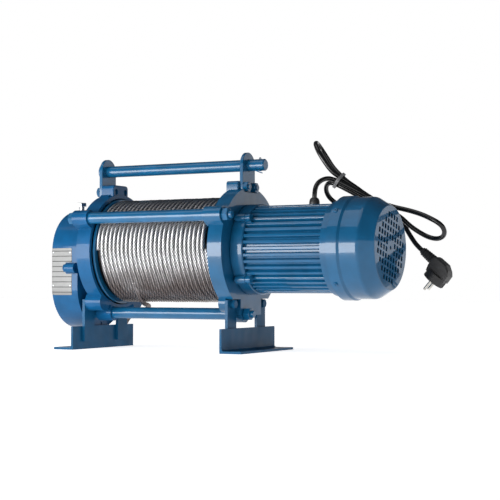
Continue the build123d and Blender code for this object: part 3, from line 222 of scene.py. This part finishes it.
def object_noise(tree, scale, detail=3.0, stretch=(1, 1, 1)):
    """Noise in the piece's own coordinates; scale is in bumps per metre."""
    place = tree.nodes.new("ShaderNodeTexCoord")
    mapping = tree.nodes.new("ShaderNodeMapping")
    mapping.inputs["Scale"].default_value = stretch
    noise = tree.nodes.new("ShaderNodeTexNoise")
    noise.inputs["Scale"].default_value = scale
    noise.inputs["Detail"].default_value = detail
    tree.links.new(place.outputs["Object"], mapping.inputs["Vector"])
    tree.links.new(mapping.outputs["Vector"], noise.inputs["Vector"])
    return noise


COLOR_SPREAD = (0.35, 0.65)                    # noise values at which the two tones are reached


def vary_color(material, scale, low, high, stretch=(1, 1, 1)):
    """Colour that drifts between two tones with the noise."""
    tree = material.node_tree
    noise = object_noise(tree, scale, stretch=stretch)
    ramp = tree.nodes.new("ShaderNodeValToRGB")
    ramp.color_ramp.elements[0].position = COLOR_SPREAD[0]
    ramp.color_ramp.elements[1].position = COLOR_SPREAD[1]
    ramp.color_ramp.elements[0].color = (*low, 1)
    ramp.color_ramp.elements[1].color = (*high, 1)
    tree.links.new(noise.outputs["Fac"], ramp.inputs["Fac"])
    tree.links.new(ramp.outputs["Color"], tree.nodes["Principled BSDF"].inputs["Base Color"])


def vary_roughness(material, scale, low, high, stretch=(1, 1, 1)):
    """Roughness that drifts between two values with the noise."""
    tree = material.node_tree
    noise = object_noise(tree, scale, stretch=stretch)
    spread = tree.nodes.new("ShaderNodeMapRange")
    spread.inputs["To Min"].default_value = low
    spread.inputs["To Max"].default_value = high
    tree.links.new(noise.outputs["Fac"], spread.inputs["Value"])
    tree.links.new(spread.outputs["Result"], tree.nodes["Principled BSDF"].inputs["Roughness"])


def add_bump(material, scale, height_mm, detail=3.0, stretch=(1, 1, 1)):
    """Fine relief; height_mm is the depth of the noise."""
    tree = material.node_tree
    noise = object_noise(tree, scale, detail, stretch=stretch)
    bump = tree.nodes.new("ShaderNodeBump")
    bump.inputs["Distance"].default_value = height_mm * MM
    tree.links.new(noise.outputs["Fac"], bump.inputs["Height"])
    tree.links.new(bump.outputs["Normal"], tree.nodes["Principled BSDF"].inputs["Normal"])


def add_wave(material, scale, height_mm):
    """A slow wave under the fine relief, so that reflections have uneven edges."""
    tree = material.node_tree
    noise = object_noise(tree, scale, detail=1.0)
    wave = tree.nodes.new("ShaderNodeBump")
    wave.inputs["Distance"].default_value = height_mm * MM
    tree.links.new(noise.outputs["Fac"], wave.inputs["Height"])
    tree.links.new(wave.outputs["Normal"], tree.nodes["Bump"].inputs["Normal"])


def shade(color, factor):
    """A colour made darker or lighter."""
    return tuple(min(1, c * factor) for c in color)


GEAR_BLUE = (0.003, 0.07, 0.18)
BODY_BLUE = (0.004, 0.083, 0.19)


def make_enamel(name, color, bump_scale, bump_mm, gloss=0.85):
    """Blue enamel: slightly uneven in tone, glossy and wavy, over a more or less rough casting."""
    material = new_material(name, color, roughness=0.45, coat=gloss, coat_roughness=0.06, specular=0.1)
    vary_color(material, scale=28, low=shade(color, 0.88), high=shade(color, 1.1))
    vary_roughness(material, scale=60, low=0.34, high=0.5)
    add_bump(material, bump_scale, bump_mm, detail=4)
    add_wave(material, scale=22, height_mm=4)
    return material


def make_metal(name, color, roughness, scale=300, stretch=(1, 1, 1), bump_mm=0.02):
    """Bare metal with fine tool marks; stretch gives them a direction."""
    material = new_material(name, color, roughness, metallic=1.0)
    vary_color(material, scale * 0.3, shade(color, 0.8), shade(color, 1.12), stretch)
    vary_roughness(material, scale, roughness * 0.8, min(1, roughness * 1.3), stretch)
    add_bump(material, scale, bump_mm, stretch=stretch)
    return material


def make_plastic(name, color, roughness, scale, bump_mm):
    """Plastic or rubber with a fine grain."""
    material = new_material(name, color, roughness)
    vary_color(material, scale * 0.2, shade(color, 0.85), shade(color, 1.2))
    add_bump(material, scale, bump_mm)
    return material


LIT_BAND_MIDDLE = AXIS + 0.02                    # height of the lit band of the winding, free of painted shade
PAINTED_SHADE_FROM, PAINTED_SHADE_TO = 0.035, 0.08           # the brown painted shade starts and is full this far above and below it
PAINTED_SHADE_PATCH = 0.5                             # noise value from which the painted shade is full
# colour of the brown painted shade above and below the lit band
PAINTED_SHADE_TONE = (0.36, 0.3, 0.28, 1)
# colour of the painted shade in the valleys between strands
VALLEY_SHADE_TONE = (0.02, 0.018, 0.018, 1)
VALLEY_SHADE_FROM, VALLEY_SHADE_TO = 0.3, 0.84             # groove values where the painted valley shade is full, and where the rope is fully bright
WIRE_BUMP_MM = 0.12


def make_rope_metal(name, color):
    """Galvanised wires: fine streaks round the drum, with brown painted shade at the top and the bottom.
    """
    material = new_material(name, color, roughness=0.28, metallic=1.0)
    tree = material.node_tree
    shader = tree.nodes["Principled BSDF"]
    wires = object_noise(tree, scale=1100, detail=2.0, stretch=(1, 0.5, 0.5))
    fine = tree.nodes.new("ShaderNodeValToRGB")
    fine.color_ramp.elements[0].position = 0.34
    fine.color_ramp.elements[1].position = 0.6
    fine.color_ramp.elements[0].color = (*shade(color, 0.45), 1)
    fine.color_ramp.elements[1].color = (*shade(color, 1.3), 1)
    tree.links.new(wires.outputs["Fac"], fine.inputs["Fac"])
    # brown painted shade, in patches, darker above and below the lit middle band
    shade_noise = object_noise(tree, scale=17, detail=4.0)
    split = tree.nodes.new("ShaderNodeSeparateXYZ")
    tree.links.new(tree.nodes["Texture Coordinate"].outputs["Object"], split.inputs["Vector"])
    height = tree.nodes.new("ShaderNodeMath")
    height.operation = "SUBTRACT"
    height.inputs[1].default_value = LIT_BAND_MIDDLE
    tree.links.new(split.outputs["Z"], height.inputs[0])
    away = tree.nodes.new("ShaderNodeMath")
    away.operation = "ABSOLUTE"
    tree.links.new(height.outputs["Value"], away.inputs[0])
    band = tree.nodes.new("ShaderNodeMapRange")
    band.inputs["From Min"].default_value = PAINTED_SHADE_FROM
    band.inputs["From Max"].default_value = PAINTED_SHADE_TO
    tree.links.new(away.outputs["Value"], band.inputs["Value"])
    patch = tree.nodes.new("ShaderNodeMapRange")
    patch.inputs["From Max"].default_value = PAINTED_SHADE_PATCH
    tree.links.new(shade_noise.outputs["Fac"], patch.inputs["Value"])
    amount = tree.nodes.new("ShaderNodeMath")
    amount.operation = "MULTIPLY"
    tree.links.new(band.outputs["Result"], amount.inputs[0])
    tree.links.new(patch.outputs["Result"], amount.inputs[1])
    painted_shade = tree.nodes.new("ShaderNodeMix")
    painted_shade.data_type = "RGBA"
    painted_shade.blend_type = "MULTIPLY"
    painted_shade.inputs["B"].default_value = PAINTED_SHADE_TONE
    tree.links.new(amount.outputs["Value"], painted_shade.inputs["Factor"])
    tree.links.new(fine.outputs["Color"], painted_shade.inputs["A"])
    # painted shade in the valleys between the strands, set by the groove value
    groove = tree.nodes.new("ShaderNodeAttribute")
    groove.attribute_name = GROOVE
    valley = tree.nodes.new("ShaderNodeValToRGB")
    valley.color_ramp.elements[0].position = VALLEY_SHADE_FROM
    valley.color_ramp.elements[1].position = VALLEY_SHADE_TO
    valley.color_ramp.elements[0].color = VALLEY_SHADE_TONE
    valley.color_ramp.elements[1].color = (1, 1, 1, 1)
    tree.links.new(groove.outputs["Fac"], valley.inputs["Fac"])
    depth = tree.nodes.new("ShaderNodeMix")
    depth.data_type = "RGBA"
    depth.blend_type = "MULTIPLY"
    depth.inputs["Factor"].default_value = 1
    tree.links.new(painted_shade.outputs["Result"], depth.inputs["A"])
    tree.links.new(valley.outputs["Color"], depth.inputs["B"])
    tree.links.new(depth.outputs["Result"], shader.inputs["Base Color"])
    bump = tree.nodes.new("ShaderNodeBump")
    bump.inputs["Distance"].default_value = WIRE_BUMP_MM * MM
    tree.links.new(wires.outputs["Fac"], bump.inputs["Height"])
    tree.links.new(bump.outputs["Normal"], shader.inputs["Normal"])
    return material


gear_paint = make_enamel("gear_paint", GEAR_BLUE, 420, 0.05, 0.3)
foot_paint = make_enamel("foot_paint", shade(BODY_BLUE, 0.8), 420, 0.04, 0.12)
cast_paint = make_enamel("cast_paint", shade(BODY_BLUE, 0.92), 380, 0.12)
body_paint = make_enamel("body_paint", BODY_BLUE, 500, 0.03)
zinc = make_metal("zinc", (0.52, 0.54, 0.57), 0.3)
bright = make_metal("bright_steel", (0.42, 0.42, 0.43), 0.25, stretch=(0.1, 1, 1))
forged = make_metal("forged_steel", (0.34, 0.35, 0.37), 0.4, 240, bump_mm=0.06)
gear_steel = make_metal("gear_steel", (0.25, 0.25, 0.26), 0.35)
iron = make_metal("iron_core", (0.12, 0.12, 0.125), 0.55, 200)
copper = make_metal("copper", (0.42, 0.15, 0.05), 0.35, 600, (0.3, 1, 1), 0.2)
rope_metal = make_rope_metal("rope_wires", (0.86, 0.86, 0.93))
cord_black = make_plastic("cord_sheath", (0.006, 0.006, 0.0065), 0.2, 90, 0.004)
gland_black = make_plastic("gland_rubber", (0.012, 0.012, 0.013), 0.45, 500, 0.03)
plug_black = make_plastic("plug_rubber", (0.014, 0.014, 0.015), 0.5, 700, 0.03)
fan_black = make_plastic("fan_plastic", (0.02, 0.02, 0.022), 0.5, 400, 0.03)
nickel = make_metal("pin_nickel", (0.62, 0.6, 0.55), 0.18)
tie_grey = make_plastic("tie_plastic", (0.2, 0.2, 0.205), 0.45, 300, 0.02)


RULE_HALF_GAP = 0.0045                         # half the distance between two ruled lines
RULE_HALF_WIDTH = 0.0007


def make_label():
    """The blank plate: a grey metal sheet with empty ruled lines."""
    color = (0.18, 0.182, 0.18)
    material = new_material("label", color, roughness=0.38, metallic=0.35)
    tree = material.node_tree
    vary_roughness(material, scale=200, low=0.3, high=0.5)
    place = tree.nodes.new("ShaderNodeTexCoord")
    split = tree.nodes.new("ShaderNodeSeparateXYZ")
    tree.links.new(place.outputs["Object"], split.inputs["Vector"])
    rules = tree.nodes.new("ShaderNodeMath")
    rules.operation = "PINGPONG"
    rules.inputs[1].default_value = RULE_HALF_GAP
    tree.links.new(split.outputs["Z"], rules.inputs[0])
    thin = tree.nodes.new("ShaderNodeMath")
    thin.operation = "LESS_THAN"
    thin.inputs[1].default_value = RULE_HALF_WIDTH
    tree.links.new(rules.outputs["Value"], thin.inputs[0])
    mix = tree.nodes.new("ShaderNodeMix")
    mix.data_type = "RGBA"
    mix.inputs["A"].default_value = (*color, 1)
    mix.inputs["B"].default_value = (0.03, 0.03, 0.03, 1)
    tree.links.new(thin.outputs["Value"], mix.inputs["Factor"])
    tree.links.new(mix.outputs["Result"], tree.nodes["Principled BSDF"].inputs["Base Color"])
    return material


label = make_label()

# ---- which CAD node has which material ----
FINISH = {
    gear_paint: ["gear_cover", "gearbox_housing", "gear_cover_bolts"],
    cast_paint: ["motor_bracket", "motor_front_shield", "drum_flanges"],
    foot_paint: ["foot_angle_left", "foot_angle_right", "foot_bars", "foot_bolts"],
    body_paint: ["tie_rod_front", "tie_rod_lower", "tie_rod_rear", "hanger_lug_left", "hanger_lug_right",
                 "hanger_rod", "motor_housing", "motor_rear_shield", "fan_cover", "tie_rod_nuts",
                 "hanger_lug_bolts", "hanger_cotter_pin", "shield_screws", "fan_cover_screws"],
    zinc: ["oil_filler_plug", "rating_plate_rivets", "ring_gear_bolts", "rope_anchor_clamp"],
    bright: ["motor_shaft", "shaft_bearing_outer_rings", "drum_bearing_inner_rings",
             "drum_bearing_outer_rings", "countershaft_bearing_rings", "motor_shaft_bearing_rings",
             "brake_armature"],
    rope_metal: ["rope_winding", "rope_tail", "rope_eye"],
    forged: ["rope_ferrule", "rope_thimble", "hook_body", "hook_latch", "hook_latch_pin"],
    gear_steel: ["ring_gear", "countershaft", "countershaft_gear"],
    iron: ["stator_core", "rotor_core", "brake_magnet", "drum_tube"],
    copper: ["stator_windings", "brake_coil"],
    fan_black: ["cooling_fan", "brake_disc"],
    label: ["rating_plate"],
    cord_black: ["power_cord"],
    gland_black: ["cord_gland"],
    plug_black: ["plug_body"],
    nickel: ["plug_pins"],
    tie_grey: ["cord_tie"],
}
for material, names in FINISH.items():
    for name in names:
        mesh = nodes[name].data
        mesh.materials.clear()
        mesh.materials.append(material)


# ---- power cord and rope tail ----
cord = make_route("power_cord_sheath", CORD_ROUTE)
cord.data.bevel_depth = CORD_D / 2
cord.data.bevel_resolution = 5
cord.data.use_fill_caps = True
cord.data.materials.append(cord_black)
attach(cord, "frame")
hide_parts("power_cord")

LAY = 4.4 * ROPE_D                             # length of one full twist of the strands
STEP = 0.0025                                  # between sections of a free rope


def make_rope(name, path, body, replaced=None):
    """A laid rope along a path, riding a body."""
    rope = laid_rope(name, resample(path, STEP), ROPE_D, LAY)
    rope.data.materials.append(rope_metal)
    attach(rope, body)
    if replaced:
        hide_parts(replaced)
    return rope


tail_route = make_route("rope_tail_route", ROPE_ROUTE)
tail_path = route_points(tail_route)
bpy.data.objects.remove(tail_route)
tail = make_rope("rope_tail_strands", tail_path, "frame", "rope_tail")

# the rope's eye, in a frame that starts at the ferrule and runs along the rope
EYE_START = Vector((-0.300, 0.134, 0.0159))
EYE_ALONG = Vector((-0.74, 0.673, 0)).normalized()
EYE_ACROSS = Vector((0, 0, 1)).cross(EYE_ALONG)
EYE_X = 0.048
EYE_R = 0.0135
EYE_LEG = 0.0041
FERRULE_END = 0.022
EYE_TOUCH = radians(112)                       # where a leg runs into the round of the eye
LEG_STEPS = 9
BOW_STEPS = 16                                 # in each half of the bow


def eye_path():
    """One leg out of the ferrule, round the thimble and back beside it."""
    touch = (EYE_X + EYE_R * cos(EYE_TOUCH), EYE_R * sin(EYE_TOUCH))
    reach = touch[0] - FERRULE_END
    slope = cos(EYE_TOUCH - radians(90)), sin(EYE_TOUCH - radians(90))
    leg = []
    for k in range(LEG_STEPS):
        t = k / LEG_STEPS
        x = FERRULE_END * (1 - t) ** 2 * (1 + 2 * t) + touch[0] * t * t * (3 - 2 * t)
        x += reach * (t * (1 - t) ** 2 - slope[0] * t * t * (1 - t))
        y = EYE_LEG * (1 - t) ** 2 * (1 + 2 * t) + touch[1] * t * t * (3 - 2 * t)
        y -= reach * slope[1] * t * t * (1 - t)
        leg.append((x, y))
    bow = []
    for k in range(2 * BOW_STEPS + 1):
        angle = EYE_TOUCH * (1 - k / BOW_STEPS)
        bow.append((EYE_X + EYE_R * cos(angle), EYE_R * sin(angle)))
    flat = leg + bow + [(x, -y) for x, y in reversed(leg)]
    return [EYE_START + EYE_ALONG * x + EYE_ACROSS * y for x, y in flat]


eye = make_rope("rope_eye_strands", eye_path(), "frame", "rope_eye")


# ---- wound rope ----
TURNS = 27
ROPE_TOP = winding_high.z - AXIS               # outside of the top layer
TURN_R = ROPE_TOP - ROPE_D / 2
SLACK = 0.0003                                 # the turns keep about this far inside the CAD winding
FIRST_TURN = winding_low.x + ROPE_D / 2 + SLACK
LAST_TURN = winding_high.x - ROPE_D / 2 - SLACK
TURN_PITCH = (LAST_TURN - FIRST_TURN) / (TURNS - 1)
TURN_STEPS = 132
STEP_AT, STEP_SPAN = 0.4, 0.2                  # parts of a turn: where it steps over, and for how long
WANDER = (0.00016, 0.0001)                     # sideways unevenness of the turns
LIFT = 0.00025                                 # outward unevenness


def winding_path():
    """The top layer: each turn lies level, then steps over by one rope on the far side."""
    points = []
    for i in range((TURNS - 1) * TURN_STEPS + 1):
        turn, part = divmod(i, TURN_STEPS)
        angle = tau * part / TURN_STEPS
        step = min(max((part / TURN_STEPS - STEP_AT) / STEP_SPAN, 0), 1)
        shift = step * step * (3 - 2 * step)
        wander = WANDER[0] * sin(turn * 2.7 + 1.3 * sin(angle)) + WANDER[1] * sin(3 * angle + turn)
        lift = LIFT * sin(turn * 1.9 + 0.6) * sin(angle + turn) - SLACK
        x = min(max(FIRST_TURN + (turn + shift) * TURN_PITCH + wander, FIRST_TURN), LAST_TURN)
        radius = TURN_R + lift
        points.append(Vector((x, -radius * cos(angle), AXIS + radius * sin(angle))))
    return points


SWELL = 0.0001                                 # makes the wound rope thicker, to narrow the gaps
turns = laid_rope("rope_turns", winding_path(), ROPE_D + SWELL, LAY)
turns.data.materials.append(rope_metal)
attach(turns, "drum")
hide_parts("rope_winding")


LEAD_TURN = 7                                  # the free end leaves this many pitches along
LEAD_SPAN = radians(42)
LEAD_STEPS = 24


def lead_path():
    """The rope from the start of the tail up into its place in the top layer."""
    start = tail_path[0]
    down = Vector((start.y, AXIS - start.z))
    first = -down.angle_signed(Vector((0, 1)))
    turn_x = FIRST_TURN + LEAD_TURN * TURN_PITCH
    points = []
    for k in range(LEAD_STEPS + 1):
        t = k / LEAD_STEPS
        angle = abs(first) + LEAD_SPAN * t
        sunk = t * t * (3 - 2 * t)
        radius = down.length + (TURN_R - SLACK - down.length) * sunk
        x = start.x + (turn_x - start.x) * (t + t * t - t ** 3)
        points.append(Vector((x, -radius * sin(angle), AXIS - radius * cos(angle))))
    return points


make_rope("rope_lead", lead_path(), "frame")


def lathe(name, section, around=96):
    """A closed body of revolution about the drum axis from (x, radius) points."""
    verts = []
    for k in range(around):
        angle = tau * k / around
        verts += [(x, r * cos(angle), AXIS + r * sin(angle)) for x, r in section]
    count = len(section)
    faces = []
    for k in range(around):
        here, there = k * count, (k + 1) % around * count
        for j in range(count):
            nxt = (j + 1) % count
            faces.append((here + j, here + nxt, there + nxt, there + j))
    return add_mesh(name, verts, faces)


LAYERS_INNER_R = 0.0611                        # just outside the drum tube
RIDGE_R = TURN_R - 0.0012                      # the ribs' tops, inside the turns that lie on them
VALLEY_R = RIDGE_R - 0.0016                    # between the ribs, seen through the gaps
VALLEY_HALF = 0.0003                           # half the width of a valley's floor
END_GAP = 0.0002


def make_lower_layers():
    """The layers under the top one, ribbed by their own turns."""
    pitch = (winding_high.x - winding_low.x) / TURNS
    section = [(winding_low.x + END_GAP, LAYERS_INNER_R)]
    for turn in range(TURNS):
        x = winding_low.x + turn * pitch
        end = x + pitch
        section += [(x + VALLEY_HALF, VALLEY_R), (x + pitch / 2, RIDGE_R), (end - VALLEY_HALF, VALLEY_R)]
    section.append((winding_high.x - END_GAP, LAYERS_INNER_R))
    return lathe("rope_lower_layers", section)


layers = make_lower_layers()
layers.data.materials.append(rope_metal)
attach(layers, "drum")


# ---- stage and light ----
FLOOR_HALF = 6
FLOOR_GLOW = 0.78


def make_floor():
    """A pale floor that glows a little, so that it stays near white without strong light."""
    corners = [(-FLOOR_HALF, -FLOOR_HALF, 0), (FLOOR_HALF, -FLOOR_HALF, 0),
               (FLOOR_HALF, FLOOR_HALF, 0), (-FLOOR_HALF, FLOOR_HALF, 0)]
    floor = add_mesh("floor", corners, [(0, 1, 2, 3)], smooth=False)
    material = new_material("floor", (0.88, 0.88, 0.89), roughness=0.7, specular=0.2)
    shader = material.node_tree.nodes["Principled BSDF"]
    shader.inputs["Emission Color"].default_value = (1, 1, 1, 1)
    shader.inputs["Emission Strength"].default_value = FLOOR_GLOW
    floor.data.materials.append(material)


LIGHT_AIM = Vector((0, 0, 0.17))


def add_light(name, kind, at):
    """A light that points at the middle of the object."""
    data = bpy.data.lights.new(name, kind)
    light = bpy.data.objects.new(name, data)
    bpy.context.scene.collection.objects.link(light)
    light.location = at
    light.rotation_euler = (LIGHT_AIM - Vector(at)).to_track_quat("-Z", "Y").to_euler()
    return data


def softbox(name, at, size, energy):
    """A flat square-cornered lamp; size is its width and height in metres."""
    data = add_light(name, "AREA", at)
    data.shape = "RECTANGLE"
    data.size, data.size_y = size
    data.energy = energy


def sun(name, at, strength, spread):
    """Even light from one side, with soft shadows; spread is its angular size in degrees."""
    data = add_light(name, "SUN", at)
    data.energy = strength
    data.angle = radians(spread)


BRIGHT_TO, DIM_FROM = 0.215, 0.27              # sines of the angles above the horizon
OVERHEAD = (0.07, 0.075, 0.085, 1)


def make_world():
    """A studio that is bright round the horizon and dim overhead."""
    world = bpy.data.worlds.new("studio")
    world.use_nodes = True
    tree = world.node_tree
    place = tree.nodes.new("ShaderNodeTexCoord")
    split = tree.nodes.new("ShaderNodeSeparateXYZ")
    ramp = tree.nodes.new("ShaderNodeValToRGB")
    ramp.color_ramp.elements[0].position = BRIGHT_TO
    ramp.color_ramp.elements[0].color = (1, 1, 1, 1)
    ramp.color_ramp.elements[1].position = DIM_FROM
    ramp.color_ramp.elements[1].color = OVERHEAD
    tree.links.new(place.outputs["Generated"], split.inputs["Vector"])
    tree.links.new(split.outputs["Z"], ramp.inputs["Fac"])
    tree.links.new(ramp.outputs["Color"], tree.nodes["Background"].inputs["Color"])
    bpy.context.scene.world = world
    bpy.context.scene.view_settings.view_transform = "Standard"


make_floor()
softbox("front_box", at=(-0.33, -0.82, 0.11), size=(0.84, 0.46), energy=11)
sun("key", at=(-0.6, -1.0, 3), strength=0.6, spread=50)
make_world()
